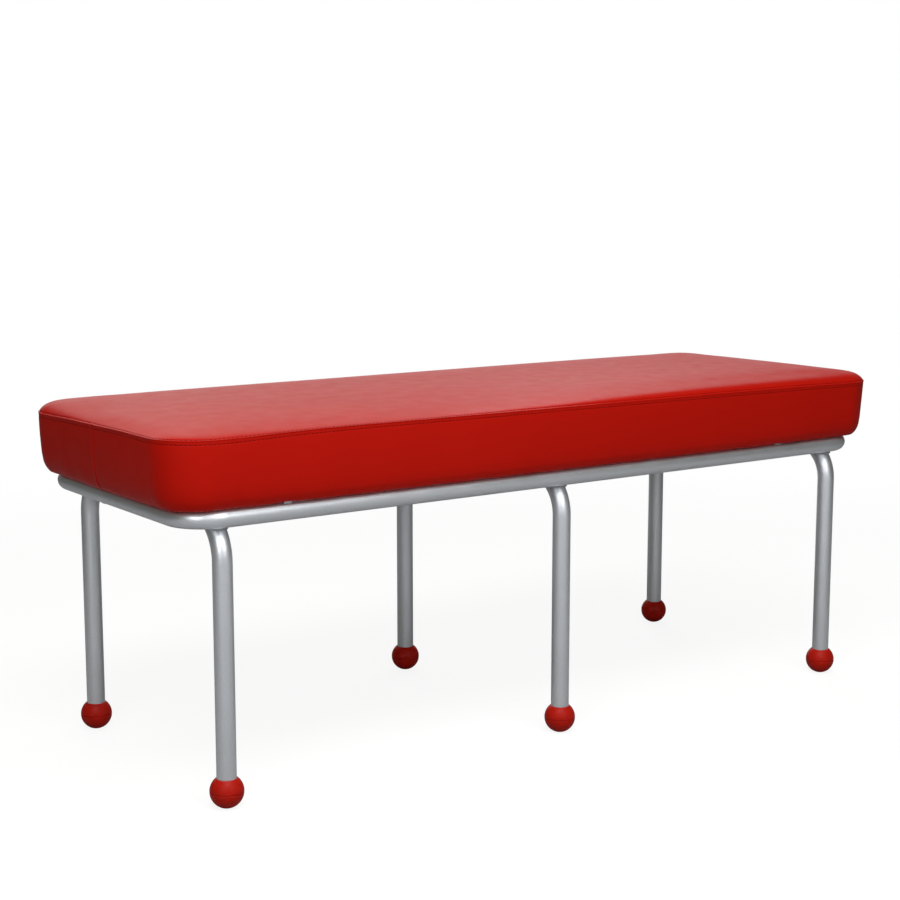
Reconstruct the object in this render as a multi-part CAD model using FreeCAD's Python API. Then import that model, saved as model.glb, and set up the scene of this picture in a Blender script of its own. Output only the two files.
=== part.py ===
import FreeCAD, Part
import math
import os

Vector = FreeCAD.Vector

# An upholstered bench on six legs. All sizes are in millimetres.
# X runs along the bench, Y runs from its front side to its rear side and Z points up.
# The origin is on the floor, under the middle of the bench.

# ---- Driving dimensions ----

# Cushion, measured over the cover
cushion_length = 1209.0
cushion_depth = 447.0
cushion_corner_radius = 65.0
band_height = 86.0              # from the underside up to the top seam
side_taper = 7.5                # how far the sides lean in from the seam down to the underside
bottom_edge_radius = 13.0
crown_height = 10.5             # of the flat top above the seam
crown_width = 34.0              # from the seam in to where the flat top begins
cover_thickness = 1.1
turned_under_width = 66.0       # of the cover, from the cushion's edge inwards
turned_under_corner_radius = 15.0

# Seat board
board_thickness = 15.0
board_edge_foam = 4.0           # foam between the board's edge and the turned-under cover
breather_hole_diameter = 20.0
breather_hole_pitch = 240.0
breather_hole_count = 4

# Steel tube of the seat rail and of the leg hoops
tube_diameter = 25.0
tube_wall = 1.5

# Seat rail, a flat ring of tube under the cushion's edge
rail_top_height = 375.5
rail_end_overhang = 22.0        # the cushion reaches this far past the rail at its ends
rail_side_overhang = 12.5       # and this far along its sides
rail_bend_radius = 46.0         # to the tube's centre line
butt_weld_offset = 32.0         # from the middle of the left end, towards the rear
butt_weld_root_gap = 1.2
butt_weld_width = 5.0
butt_weld_height = 0.6

# Leg hoops, three upside-down U tubes that stand inside the rail. The outer two are where its corners begin.
hoop_bend_radius = 55.0         # to the tube's centre line
hoop_weld_root_gap = 0.4        # between the rail and each hoop before welding
hoop_weld_leg = 3.0

# Mounting tabs, welded on top of the rail
tab_hoop_distance = 101.0       # from the middle of an outer hoop in to the middle of a tab
tab_width = 40.0
tab_thickness = 2.0
tab_front_reach = 6.5           # outwards past the rail's centre line
tab_end_margin = 11.0           # inwards past the bolt
tab_corner_radius = 6.0
tack_radius = 2.2
tack_length = 8.0
tack_offset = 15.0              # from the tab's middle, along the rail
tack_sink = 0.6                 # of the outer tack's middle below the tab

# Bolts, washers and T-nuts that hold the seat board on the tabs
bolt_diameter = 6.0
bolt_length = 18.0
bolt_head_width = 10.0          # across the flats
bolt_head_height = 4.0
bolt_hole_clearance = 0.6       # on the diameter
bolt_wall_distance = 12.0       # from the rail's inner side to the bolt
washer_diameter = 12.0
washer_thickness = 1.6
nut_flange_diameter = 19.0
nut_flange_thickness = 1.3
nut_barrel_diameter = 8.0
nut_barrel_length = 11.0
nut_thread_clearance = 0.1      # on the diameter
nut_prong_count = 4
nut_prong_width = 3.0
nut_prong_thickness = 1.2
nut_prong_length = 6.0
nut_prong_edge_distance = 0.8   # from the flange's rim

# Ball feet, pushed on the ends of the legs
foot_diameter = 43.0
foot_flat_diameter = 12.0
foot_base_thickness = 9.0       # under the steel washer
foot_washer_thickness = 1.5
foot_fit_clearance = 0.1        # on the radius, round the leg
foot_washer_clearance = 0.2     # on the radius, inside the bore
foot_lip_width = 1.0
foot_groove_radius = 0.9

# Dust cloth under the board, and the staples
cloth_thickness = 0.5
cloth_overlap = 20.0            # over the turned-under cover
staple_crown = 10.0
staple_wire_width = 1.2
staple_wire_thickness = 0.6
staple_leg_length = 8.0
staple_pitch = 75.0
staple_edge_distance = 4.0      # from the edge of the cover or cloth that it holds
staple_proud = 0.3              # of the dust cloth

# ---- Sizes that follow ----

tube_radius = tube_diameter / 2
rail_height = rail_top_height - tube_radius
rail_x = cushion_length / 2 - rail_end_overhang - tube_radius
rail_y = cushion_depth / 2 - rail_side_overhang - tube_radius

# The rail touches the shoulder of each hoop's bend from outside, with the crossbar level with the rail.
shoulder_reach = math.sqrt(
    (hoop_bend_radius + tube_diameter + hoop_weld_root_gap) ** 2 - hoop_bend_radius ** 2
)
leg_y = rail_y - (shoulder_reach - hoop_bend_radius)
end_hoop_x = rail_x - rail_bend_radius
leg_end_height = foot_base_thickness + foot_washer_thickness

cover_underside = rail_top_height + tab_thickness
board_underside = cover_underside + cover_thickness
board_top = board_underside + board_thickness
seam_height = cover_underside + band_height
seat_height = seam_height + crown_height

underside_inset = side_taper + bottom_edge_radius
board_inset = underside_inset + cover_thickness + board_edge_foam
cover_opening_inset = underside_inset + turned_under_width
cloth_inset = cover_opening_inset - cloth_overlap

tab_x = end_hoop_x - tab_hoop_distance
bolt_y = rail_y - tube_radius - bolt_wall_distance
tab_outer_y = rail_y + tab_front_reach
tab_inner_y = bolt_y - tab_end_margin

# Steps that the cushion's rounded bottom edge, its sides and its crown are made in
edge_steps = 3
side_steps = 3
crown_steps = 4

# The sides of the bench: the sign of Y at the front and at the rear, and of X at the left and at the right.
sides = {"front": -1, "rear": 1}
ends = {"left": -1, "right": 1}
hoop_places = {"left": -end_hoop_x, "middle": 0.0, "right": end_hoop_x}


# ---- Helpers ----

def rounded_rectangle(half_length, half_depth, radius, height):
    """A level closed wire, centred on the Z axis."""
    diagonal = radius * math.sqrt(0.5)
    inner_x = half_length - radius
    inner_y = half_depth - radius
    edges = []
    for sign_x, sign_y in ((1, 1), (-1, 1), (-1, -1), (1, -1)):
        on_end = Vector(sign_x * half_length, sign_y * inner_y, height)
        on_corner = Vector(sign_x * (inner_x + diagonal), sign_y * (inner_y + diagonal), height)
        on_side = Vector(sign_x * inner_x, sign_y * half_depth, height)
        anticlockwise = sign_x * sign_y > 0
        first, last = (on_end, on_side) if anticlockwise else (on_side, on_end)
        if edges:
            edges.append(Part.makeLine(edges[-1].lastVertex().Point, first))
        edges.append(Part.Arc(first, on_corner, last).toShape())
    edges.append(Part.makeLine(edges[-1].lastVertex().Point, edges[0].firstVertex().Point))
    return Part.Wire(edges)


def cushion_outline(inset, height):
    """The cushion's outline at the seam, moved inwards by an inset."""
    return rounded_rectangle(
        cushion_length / 2 - inset, cushion_depth / 2 - inset, cushion_corner_radius - inset, height
    )


def slab(outline, thickness):
    """A flat piece above a level outline."""
    return Part.Face(outline).extrude(Vector(0, 0, thickness))


def underside_outline(inset, height):
    """An outline under the board, with tighter corners than the cushion's own."""
    return rounded_rectangle(
        cushion_length / 2 - inset, cushion_depth / 2 - inset, turned_under_corner_radius, height
    )


def box(x_low, x_high, y_low, y_high, z_low, z_high):
    """A block between two corners."""
    return Part.makeBox(x_high - x_low, y_high - y_low, z_high - z_low, Vector(x_low, y_low, z_low))


def bent_path(points, radius):
    """A path through the points with the same bend radius at every corner."""
    edges = []
    start = points[0]
    for before, corner, after in zip(points, points[1:], points[2:]):
        back = (before - corner).normalize()
        ahead = (after - corner).normalize()
        half_angle = back.getAngle(ahead) / 2
        bisector = (back + ahead).normalize()
        bend_start = corner + back * (radius / math.tan(half_angle))
        bend_end = corner + ahead * (radius / math.tan(half_angle))
        bend_middle = corner + bisector * (radius / math.sin(half_angle) - radius)
        edges.append(Part.makeLine(start, bend_start))
        edges.append(Part.Arc(bend_start, bend_middle, bend_end).toShape())
        start = bend_end
    edges.append(Part.makeLine(start, points[-1]))
    return Part.Wire(edges)


def swept_rod(points, bend_radius, radius):
    """A round rod bent through the points."""
    circle = Part.makeCircle(radius, points[0], points[1] - points[0])
    return bent_path(points, bend_radius).makePipeShell([Part.Wire([circle])], True, True)


def swept_tube(points, bend_radius):
    """The frame's steel tube, bent through the points."""
    outside = swept_rod(points, bend_radius, tube_radius)
    inside = swept_rod(points, bend_radius, tube_radius - tube_wall)
    return outside.cut(inside)


def export(name, pieces):
    """Writes one node, as one solid or as a group of separate solids."""
    shape = pieces[0] if len(pieces) == 1 else Part.makeCompound(pieces)
    shape.exportStep(os.path.join("parts", name + ".step"))


# ---- Frame ----

def rail_points():
    """The corners of the rail's centre line, from one side of the butt weld round to the other."""
    first_y = butt_weld_offset + butt_weld_root_gap / 2
    last_y = butt_weld_offset - butt_weld_root_gap / 2
    plan = [
        (-rail_x, first_y),
        (-rail_x, rail_y),
        (rail_x, rail_y),
        (rail_x, -rail_y),
        (-rail_x, -rail_y),
        (-rail_x, last_y),
    ]
    return [Vector(x, y, rail_height) for x, y in plan]


def hoop_points(x):
    """The corners of one hoop's centre line, up one leg, across and down the other."""
    plan = [(-leg_y, leg_end_height), (-leg_y, rail_height), (leg_y, rail_height), (leg_y, leg_end_height)]
    return [Vector(x, y, z) for y, z in plan]


def butt_weld():
    """The weld that closes the rail: a ring through the tube's wall with a low rounded cap."""
    along = Vector(0, 1, 0)
    middle = Vector(-rail_x, butt_weld_offset, rail_height)
    root_start = middle - along * (butt_weld_root_gap / 2)
    root = Part.makeCylinder(tube_radius, butt_weld_root_gap, root_start, along)
    cap_start = Vector(-rail_x, butt_weld_offset - butt_weld_width / 2, rail_height + tube_radius)
    cap_top = Vector(-rail_x, butt_weld_offset, rail_height + tube_radius + butt_weld_height)
    cap_end = Vector(-rail_x, butt_weld_offset + butt_weld_width / 2, rail_height + tube_radius)
    section = Part.Wire([Part.Arc(cap_start, cap_top, cap_end).toShape(), Part.makeLine(cap_end, cap_start)])
    cap = Part.Face(section).revolve(middle, along, 360)
    inside = Part.makeCylinder(tube_radius - tube_wall, butt_weld_root_gap, root_start, along)
    return root.cut(inside).fuse(cap).removeSplitter()


def hoop_weld(x, sign_y, rail_rod, hoop_rod):
    """The weld between the rail and the shoulder of one bend, a fillet that fills the corner between them."""
    weld_radius = tube_radius + hoop_weld_leg
    reach = Vector(weld_radius, 0, 0)
    rail_middle = Vector(x, sign_y * rail_y, rail_height)
    bend_centre = Vector(x, sign_y * (leg_y - hoop_bend_radius), rail_height - hoop_bend_radius)
    near_rail = Part.makeCylinder(weld_radius, 2 * weld_radius, rail_middle - reach, Vector(1, 0, 0))
    near_bend = Part.makeTorus(hoop_bend_radius, weld_radius, bend_centre, Vector(1, 0, 0))
    return near_rail.common(near_bend).cut(rail_rod).cut(hoop_rod).Solids[0]


def tab(sign_x, sign_y):
    """A flat plate that lies across the top of the rail, with the bolt's hole at its inner end."""
    x = sign_x * tab_x
    low_y, high_y = sorted((sign_y * tab_inner_y, sign_y * tab_outer_y))
    plate = box(x - tab_width / 2, x + tab_width / 2, low_y, high_y, rail_top_height, cover_underside)
    upright = [
        e for e in plate.Edges
        if abs(e.tangentAt(e.FirstParameter).z) > 0.5 and abs(e.CenterOfMass.y) < rail_y
    ]
    plate = plate.makeFillet(tab_corner_radius, upright)
    return plate.cut(bolt_hole(sign_x, sign_y))


def tack(x, y, z):
    """A short round-ended run of weld along X."""
    half = tack_length / 2
    run = Part.makeCylinder(tack_radius, tack_length, Vector(x - half, y, z), Vector(1, 0, 0))
    for end_x in (x - half, x + half):
        run = run.fuse(Part.makeSphere(tack_radius, Vector(end_x, y, z)))
    return run.removeSplitter()


def tab_tacks(sign_x, sign_y, rail_rod, plate):
    """One tack at the tab's outer edge and two where the rail falls away beneath the tab."""
    x = sign_x * tab_x
    tacks = [tack(x - tack_offset, sign_y * tab_outer_y, rail_top_height - tack_sink)]
    fall = tube_radius - math.sqrt(tube_radius ** 2 - tab_front_reach ** 2)
    inner_y = sign_y * (rail_y - tab_front_reach - tack_radius)
    for inner_x in (x - tack_offset, x + tack_offset):
        tacks.append(tack(inner_x, inner_y, rail_top_height - fall))
    return [piece.cut(rail_rod).cut(plate).Solids[0] for piece in tacks]


# ---- Seat fixings ----

def bolt_hole(sign_x, sign_y):
    """The clearance hole for one bolt through the tab and the cover."""
    radius = (bolt_diameter + bolt_hole_clearance) / 2
    start = Vector(sign_x * tab_x, sign_y * bolt_y, rail_top_height)
    return Part.makeCylinder(radius, tab_thickness + cover_thickness, start)


def hexagon(width, height, centre):
    """A hexagonal prism with a given width across its flats."""
    corner_distance = width / math.sqrt(3)
    corners = []
    for k in range(7):
        angle = math.radians(60 * k)
        corners.append(centre + Vector(math.cos(angle), math.sin(angle), 0) * corner_distance)
    return Part.Face(Part.makePolygon(corners)).extrude(Vector(0, 0, height))


def bolt(x, y):
    """A hexagon bolt that points up through the washer, the tab and the cover into the T-nut."""
    head_top = rail_top_height - washer_thickness
    head = hexagon(bolt_head_width, bolt_head_height, Vector(x, y, head_top - bolt_head_height))
    shank = Part.makeCylinder(bolt_diameter / 2, bolt_length, Vector(x, y, head_top))
    return head.fuse(shank).removeSplitter()


def washer(x, y):
    """The washer between the bolt's head and the tab."""
    start = Vector(x, y, rail_top_height - washer_thickness)
    hole = Part.makeCylinder((bolt_diameter + bolt_hole_clearance) / 2, washer_thickness, start)
    return Part.makeCylinder(washer_diameter / 2, washer_thickness, start).cut(hole)


def t_nut(x, y):
    """A pronged T-nut, flush with the top of the board."""
    flange_bottom = board_top - nut_flange_thickness
    barrel_bottom = flange_bottom - nut_barrel_length
    nut = Part.makeCylinder(nut_flange_diameter / 2, nut_flange_thickness, Vector(x, y, flange_bottom))
    nut = nut.fuse(Part.makeCylinder(nut_barrel_diameter / 2, nut_barrel_length, Vector(x, y, barrel_bottom)))
    prong_x = nut_flange_diameter / 2 - nut_prong_edge_distance
    prong = box(
        x + prong_x - nut_prong_thickness, x + prong_x,
        y - nut_prong_width / 2, y + nut_prong_width / 2,
        flange_bottom - nut_prong_length, flange_bottom,
    )
    for k in range(nut_prong_count):
        turned = prong.copy()
        turned.rotate(Vector(x, y, 0), Vector(0, 0, 1), 360 * k / nut_prong_count)
        nut = nut.fuse(turned)
    thread_radius = (bolt_diameter + nut_thread_clearance) / 2
    thread = Part.makeCylinder(thread_radius, board_top - barrel_bottom, Vector(x, y, barrel_bottom))
    return nut.cut(thread).removeSplitter()


# ---- Cushion ----

def side_lean(rise):
    """How far the side leans in at a height above the underside. It is upright at the seam."""
    return side_taper * (1 - rise / band_height) ** 2


def cushion_sections(depth):
    """The cushion's level sections as (inset, height), from the underside to the top, at a depth below its surface."""
    sections = []
    for k in range(edge_steps + 1):
        turn = math.pi / 2 * (1 - k / edge_steps)
        rise = bottom_edge_radius * (1 - math.sin(turn))
        inset = side_lean(rise) + bottom_edge_radius * (1 - math.cos(turn))
        sections.append((inset + depth, cover_underside + rise + depth))
    for k in range(1, side_steps):
        rise = bottom_edge_radius + (band_height - bottom_edge_radius) * k / side_steps
        sections.append((side_lean(rise) + depth, cover_underside + rise))
    for k in range(crown_steps + 1):
        share = k / crown_steps
        rise = crown_height * (1 - (1 - share) ** 2)
        sections.append((crown_width * share + depth, seam_height + rise - depth))
    return sections


def cushion_solid(depth):
    """The whole cushion at a depth below its surface."""
    wires = [cushion_outline(inset, height) for inset, height in cushion_sections(depth)]
    return Part.makeLoft(wires, True, True)


def seat_board(nuts):
    """A plywood board with rounded corners, breather holes and the T-nuts' pockets."""
    board = slab(cushion_outline(board_inset, board_underside), board_thickness)
    first_x = -breather_hole_pitch * (breather_hole_count - 1) / 2
    for k in range(breather_hole_count):
        start = Vector(first_x + k * breather_hole_pitch, 0, board_underside)
        board = board.cut(Part.makeCylinder(breather_hole_diameter / 2, board_thickness, start))
    for sign_x in ends.values():
        for sign_y in sides.values():
            start = Vector(sign_x * tab_x, sign_y * bolt_y, board_underside)
            board = board.cut(Part.makeCylinder(nut_barrel_diameter / 2, board_thickness, start))
    return board.cut(Part.makeCompound(nuts))


def seat_foam():
    """The foam block, which fills the cover above the board and reaches down round the board's edge."""
    board_block = slab(cushion_outline(board_inset, board_underside), board_thickness)
    return cushion_solid(cover_thickness).cut(board_block)


def cover_pieces():
    """The top panel, and the band's front and rear halves with the part that is turned under the board."""
    skin = cushion_solid(0).cut(cushion_solid(cover_thickness))
    x = cushion_length / 2
    y = cushion_depth / 2
    top = skin.common(box(-x, x, -y, y, seam_height, seat_height))
    band = skin.common(box(-x, x, -y, y, cover_underside, seam_height))
    band = band.cut(slab(underside_outline(cover_opening_inset, cover_underside), cover_thickness))
    for sign_x in ends.values():
        for sign_y in sides.values():
            band = band.cut(bolt_hole(sign_x, sign_y))
    front = band.common(box(-x, x, -y, 0, cover_underside, seam_height))
    rear = band.common(box(-x, x, 0, y, cover_underside, seam_height))
    return top, front, rear


def staple(x, y, across, underside):
    """One staple pointing up, with its crown along X, or along Y where it lies across."""
    crown = box(
        -staple_crown / 2, staple_crown / 2,
        -staple_wire_width / 2, staple_wire_width / 2,
        0, staple_wire_thickness,
    )
    for sign in (-1, 1):
        outer = sign * staple_crown / 2
        inner = outer - sign * staple_wire_thickness
        low, high = sorted((outer, inner))
        crown = crown.fuse(box(low, high, -staple_wire_width / 2, staple_wire_width / 2, 0, staple_leg_length))
    crown = crown.removeSplitter()
    if across:
        crown.rotate(Vector(0, 0, 0), Vector(0, 0, 1), 90)
    crown.translate(Vector(x, y, underside))
    return crown


def staple_row(inset, underside):
    """Staples at an even pitch along the four straight sides of an outline."""
    half_length = cushion_length / 2 - inset
    half_depth = cushion_depth / 2 - inset
    row = []
    for half_run, half_gap, across in ((half_length, half_depth, False), (half_depth, half_length, True)):
        gaps = max(1, round(2 * half_run / staple_pitch))
        for k in range(gaps):
            along = (k + 0.5) * 2 * half_run / gaps - half_run
            for sign in (-1, 1):
                x, y = (sign * half_gap, along) if across else (along, sign * half_gap)
                row.append(staple(x, y, across, underside))
    return row


# ---- Feet ----

def ball_foot(x, y):
    """A ball with a flat base, a groove round its middle and a blind bore for the leg."""
    radius = foot_diameter / 2
    bore_radius = tube_radius + foot_fit_clearance
    middle = Vector(x, y, math.sqrt(radius ** 2 - (foot_flat_diameter / 2) ** 2))
    lip_height = middle.z + math.sqrt(radius ** 2 - (bore_radius + foot_lip_width) ** 2)
    ball = Part.makeSphere(radius, middle)
    ball = ball.common(box(x - radius, x + radius, y - radius, y + radius, 0, lip_height))
    ball = ball.cut(Part.makeTorus(radius, foot_groove_radius, middle, Vector(0, 0, 1)))
    return ball.cut(Part.makeCylinder(bore_radius, lip_height, Vector(x, y, foot_base_thickness)))


def foot_washer(x, y):
    """The steel disc in the foot that the leg stands on."""
    radius = tube_radius + foot_fit_clearance - foot_washer_clearance
    return Part.makeCylinder(radius, foot_washer_thickness, Vector(x, y, foot_base_thickness))


# ---- Assembly ----

def main():
    os.makedirs("parts", exist_ok=True)

    rail_rod = swept_rod(rail_points(), rail_bend_radius, tube_radius)
    export("ring_rail", [swept_tube(rail_points(), rail_bend_radius)])
    export("rail_butt_weld", [butt_weld()])

    hoop_welds = []
    foot_washers = []
    for place, x in hoop_places.items():
        export("leg_hoop_" + place, [swept_tube(hoop_points(x), hoop_bend_radius)])
        hoop_rod = swept_rod(hoop_points(x), hoop_bend_radius, tube_radius)
        for side, sign_y in sides.items():
            hoop_welds.append(hoop_weld(x, sign_y, rail_rod, hoop_rod))
            export("foot_" + side + "_" + place, [ball_foot(x, sign_y * leg_y)])
            foot_washers.append(foot_washer(x, sign_y * leg_y))
    export("hoop_weld_beads", hoop_welds)
    export("foot_washers", foot_washers)

    tacks = []
    bolts = []
    washers = []
    nuts = []
    for end, sign_x in ends.items():
        for side, sign_y in sides.items():
            plate = tab(sign_x, sign_y)
            export("mounting_tab_" + side + "_" + end, [plate])
            tacks.extend(tab_tacks(sign_x, sign_y, rail_rod, plate))
            x = sign_x * tab_x
            y = sign_y * bolt_y
            bolts.append(bolt(x, y))
            washers.append(washer(x, y))
            nuts.append(t_nut(x, y))
    export("tab_weld_beads", tacks)
    export("mounting_bolts", bolts)
    export("bolt_washers", washers)
    export("t_nuts", nuts)

    cloth_underside = cover_underside - cloth_thickness
    band_staples = staple_row(cover_opening_inset - staple_edge_distance, cover_underside)
    cloth_staples = staple_row(cloth_inset + staple_edge_distance, cloth_underside - staple_proud)
    all_staples = Part.makeCompound(band_staples + cloth_staples)
    top_panel, front_band, rear_band = cover_pieces()
    export("seat_board", [seat_board(nuts).cut(all_staples)])
    export("seat_foam", [seat_foam()])
    export("cover_top_panel", [top_panel])
    export("cover_band_front", [front_band.cut(all_staples)])
    export("cover_band_rear", [rear_band.cut(all_staples)])
    export("band_staples", band_staples)
    cloth = slab(underside_outline(cloth_inset, cloth_underside), cloth_thickness)
    export("dust_cloth", [cloth.cut(Part.makeCompound(cloth_staples))])
    export("dust_cloth_staples", cloth_staples)


main()
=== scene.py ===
"""Hotel luggage bench: the looks of a long padded seat on a ring of silver tube with six ball feet."""
import math
import random

import bmesh
import bpy
import numpy as np
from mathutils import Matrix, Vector
from mathutils.kdtree import KDTree


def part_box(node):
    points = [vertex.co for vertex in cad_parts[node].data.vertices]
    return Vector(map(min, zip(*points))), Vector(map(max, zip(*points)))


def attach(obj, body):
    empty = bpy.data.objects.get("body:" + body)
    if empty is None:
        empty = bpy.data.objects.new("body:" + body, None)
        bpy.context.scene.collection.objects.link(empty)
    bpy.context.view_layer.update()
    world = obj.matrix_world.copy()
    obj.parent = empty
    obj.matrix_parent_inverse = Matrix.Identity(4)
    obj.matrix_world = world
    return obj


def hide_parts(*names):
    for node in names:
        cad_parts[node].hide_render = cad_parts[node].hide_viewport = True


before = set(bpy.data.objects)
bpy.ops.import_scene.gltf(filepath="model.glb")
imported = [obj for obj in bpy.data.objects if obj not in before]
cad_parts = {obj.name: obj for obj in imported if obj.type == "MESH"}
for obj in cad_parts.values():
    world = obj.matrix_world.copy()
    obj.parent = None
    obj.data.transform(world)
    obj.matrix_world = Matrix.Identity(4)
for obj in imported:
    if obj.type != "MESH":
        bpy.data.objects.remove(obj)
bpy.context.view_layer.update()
mm = 0.001

# ---- Sizes, in metres ----

# A pair whose name ends in _x or _y says where a smooth change starts and where it is full.
# The cushion's box, seams and underside come from the CAD nodes that it stands for.
_, panel_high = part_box("cover_top_panel")
band_low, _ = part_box("cover_band_front")
board_low, board_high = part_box("seat_board")
half_length = panel_high.x
half_depth = panel_high.y
seat_height = panel_high.z
underside = band_low.z
board_inset = half_length - board_high.x
board_lip = 12 * mm              # of foam that reaches under the board
corner_radius = 62 * mm
turned_under_radius = 15 * mm    # of the turned-under cover's corners
turned_under_inset = 86.5 * mm   # where the turned-under cover ends
end_seam_y = -1 * mm             # the band's vertical seam, at each end
cushion_shift = 2.2 * mm         # of the whole cushion, to the right on its frame
right_bulge = 1.8 * mm           # of its right end
right_bulge_x = (0.25, 0.58)

seam_height = 461.9 * mm         # of the top seam in the middle of each side
# How much lower the seam lies in each corner, by the signs of the corner's x and y
corner_droops = {(-1, -1): 3.6 * mm, (1, -1): 1.2 * mm, (1, 1): 6 * mm, (-1, 1): 6 * mm}
droop_reach = 95 * mm            # along the sides, from each corner
droop_blend = (-0.05, 0.05)      # from one corner's side to the next
front_seam_slope = -0.0055       # of the front's seam, down to the right
front_seam_y = (0.22, -0.20)
left_end_sag = (3.8 * mm, 90 * mm)       # of the left end's seam: depth in its middle, and reach
left_end_x = (0.45, 0.58)        # measured to the left

# The top panel's slow rise from its sides: height and reach. Its front left half lies lowest.
left_dome = (12.5 * mm, 42 * mm)
right_dome = (3.2 * mm, 85 * mm)
rear_dome = (3.2 * mm, 85 * mm)
front_dome_left = (7.5 * mm, 260 * mm)
front_dome_right = (3.8 * mm, 85 * mm)
right_dome_x = (-0.25, 0.25)
rear_dome_y = (-0.02, 0.18)
side_shoulder = 6 * mm           # reach of the steep rise next to the seam
corner_shoulder = 8 * mm
crest_lift = 0.6 * mm            # of the top over its plain height, with its seam pulled down
crown_tilt = 0.7 * mm            # how much higher the top is at the right end than in the middle
inner_ring_inset = 52 * mm       # where the panel's rings end and its grid begins

# The swelling comes from a cloth simulation of a remeshed copy of the cushion.
swell = 1.6 * mm                 # that it adds in the middle of the panels
swell_limit = 2.4 * mm
swell_voxel = 5.5 * mm
swell_frames = 20
pinned_height = 9 * mm           # over the underside
pinned_at_seam = (4.5 * mm, 6 * mm)      # up and down from the seam, and in from the outline
evening_rounds = 40              # that smooth the swelling over its neighbours
evening_share = 0.6
nearest_points = 6               # of the copy, that move a point of the cushion
cloth_settings = {
    "quality": 5,
    "mass": 0.4,
    "tension_stiffness": 40,
    "compression_stiffness": 40,
    "shear_stiffness": 20,
    "bending_stiffness": 2,
    "vertex_group_mass": "pinned",
    "use_pressure": True,
    "uniform_pressure_force": 4,
}

# Below the seam the band leans in, more and more at the left end and evenly at the right end.
left_lean = 0.8                  # metres per square metre of depth
right_lean = 0.07                # metres per metre of depth
right_lean_x = (-0.45, 0.55)
side_bottom_edge = (9 * mm, 20 * mm)     # width and height of the rounded bottom edge
corner_bottom_edge = (12 * mm, 24 * mm)
hang = 3.5 * mm                  # of the cover outside the rail, below the board's cover
hang_places = (15 * mm, 33 * mm)         # insets where it starts to rise and where it has risen
pleat_start = (30 * mm, 46 * mm)         # insets of the pleats under the corners: from none to full
pleat_end = (65 * mm, 54 * mm)           # and full again to none, short of the dust cloth
pleat_corners = (0.8, 1.0)       # nearness to a corner: from none to full
pleat_size = (1.0 * mm, 16 * mm)         # depth and pitch
rail_clearance = 0.4 * mm
bottom_pucker = 0.35 * mm
staple_pitch = 75 * mm
staple_wave_reach = 24 * mm
staple_wander = ((0.35, 17.0, 0.0), (0.25, 41.0, 1.3))   # of the pitch: size, waves and phase
staple_wander_share = 0.12
gather_corners = (0.55, 1.0)     # nearness to a corner where the bottom edge is gathered: from none to full
gather_size = (0.3 * mm, 10 * mm, 6 * mm)        # height, pitch and reach

# The frame under the cushion
rail_low, rail_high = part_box("ring_rail")
tube_radius = (rail_high.z - rail_low.z) / 2
rail_bend_radius = 46 * mm
long_sides_y = 0.15              # the front and rear sides lie farther out than this
tab_names = ("mounting_tab_front_left", "mounting_tab_front_right")
tab_places = [sum(corner.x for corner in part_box(name)) / 2 for name in tab_names]
tab_clearance = 0.1 * mm
tab_reach = (36 * mm, 23 * mm)           # to each side of a tab: from hanging to lifted
tab_insets = (13 * mm, 17.5 * mm)
gap_place = tab_places[0] - 17 * mm      # where the cover leaves a short gap over the front rail
gap_reach = (12 * mm, 6 * mm)            # to each side: from none to full
gap_lift = 2.2 * mm

# The topstitched seam, measured along the cover from the panel's edge: up is positive. The panel's edge
# stands proud as a thin ridge over the join, and the lower row of stitches pulls the band in under it.
# Each pair is a height or depth, and a width.
ridge = (0.45 * mm, 0.75 * mm)
join_place = -1.6 * mm
join = (0.10 * mm, 0.6 * mm)
upper_row = 2.7 * mm
upper_dip = (0.28 * mm, 1.0 * mm)
lower_row = -5.0 * mm
lower_dip = (0.38 * mm, 0.7 * mm)
lower_pull = (0.08 * mm, 2.0 * mm)
far_from_seam = 1.0              # stands for any distance that the topstitched seam doesn't reach
stitch_pitch = 5.8 * mm
stitch_length = 3.8 * mm
stitch_rise = 0.05 * mm
stitch_jitter = 0.08 * mm        # up or down
stitch_tilt = 0.10
thread_width = 1.1 * mm
thread_flatness = 0.7            # height over width
thread_bluntness = 0.6           # 1 gives round ends, and less gives blunter ones

# The vertical end seams: one length of the band laps over the other, measured from the seam's line.
lap = (0.55 * mm, 4 * mm)
lap_rise = (-0.1 * mm, 1.0 * mm)
groove_place = -0.6 * mm
groove = (0.8 * mm, 0.8 * mm)
knot_place = 1 * mm              # where all layers meet, under the top seam
knot = (0.5 * mm, 3.4 * mm, 1.6 * mm)    # height, width and reach down

# The cushion's mesh
long_step = 5 * mm
fine_step = 0.9 * mm             # next to the end seams
fine_steps = 8
step_growth = 1.35
corner_cells = 12                # in each half of a corner
# Its rings: shares of the way under the board, degrees round the bottom edge, depths below the seam,
# distances from it along the panel, and shares of the way on to the panel's grid
under_portions = (1, 0.86, 0.72, 0.58, 0.46, 0.36, 0.28, 0.21, 0.16, 0.12, 0.09, 0.06, 0.04, 0.02)
bottom_turns = (90, 82, 74, 66, 57, 48, 39, 29, 19)
band_depths = np.array([
    24, 19, 15.5, 13, 11, 9.5, 8.4, 7.6, 7.0, 6.6, 6.2, 5.9, 5.6, 5.3, 5.0, 4.6, 4.2, 3.7, 3.1, 2.6, 2.2, 1.9,
    1.6, 1.3, 1.0, 0.7, 0.4, 0.2,
]) * mm
panel_distances = np.array([
    0, 0.2, 0.4, 0.7, 1.0, 1.3, 1.7, 2.1, 2.5, 2.9, 3.3, 3.8, 4.4, 5.2, 6.2, 7.4,
]) * mm
panel_portions = (0.04, 0.09, 0.15, 0.22, 0.30, 0.39, 0.49, 0.60, 0.72, 0.86, 1.0)

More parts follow.
